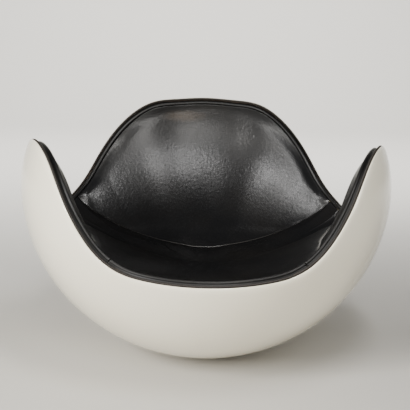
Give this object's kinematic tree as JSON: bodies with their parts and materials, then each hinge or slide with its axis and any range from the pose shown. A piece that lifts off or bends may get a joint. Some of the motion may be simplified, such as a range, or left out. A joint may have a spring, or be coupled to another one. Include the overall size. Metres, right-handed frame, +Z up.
{
  "type": "rocking lounge chair",
  "caption": "Moulded lounge chair without legs: a round weighted shell, cut off by a wavy rim, rocks on the floor around a padded leather seat, back and arms.",
  "frame": {"origin": "centre of the small flat foot under the shell, on the floor", "axes": "+Z up, -Y to the front where the rim is low, +X to the right hand as seen from the front"},
  "size_m": [0.9276, 0.8563, 0.606],
  "materials": {
    "gelcoat": "gloss",
    "laminate": "matte",
    "leather": "satin",
    "foam": "matte",
    "strip": "matte",
    "cord": "satin",
    "resin": "matte",
    "iron": "matte",
    "steel": "satin"
  },
  "bodies": {
    "root": {"outer_shell": "gelcoat", "inner_shell": "laminate", "leather_seat": "leather", "leather_back": "leather", "leather_arm_right": "leather", "leather_arm_left": "leather", "foam_seat": "foam", "foam_back": "foam", "foam_arm_right": "foam", "foam_arm_left": "foam", "tack_strip_front": "strip", "tack_strip_right": "strip", "tack_strip_back": "strip", "tack_strip_left": "strip", "welt_front": "leather", "welt_right": "leather", "welt_back": "leather", "welt_left": "leather", "trim_cord": "cord", "ballast_bed": "resin", "ballast_disc_lower": "iron", "ballast_disc_upper": "iron", "ballast_washer": "steel", "ballast_nut": "steel", "ballast_stud": "steel"}
  },
  "joints": []
}
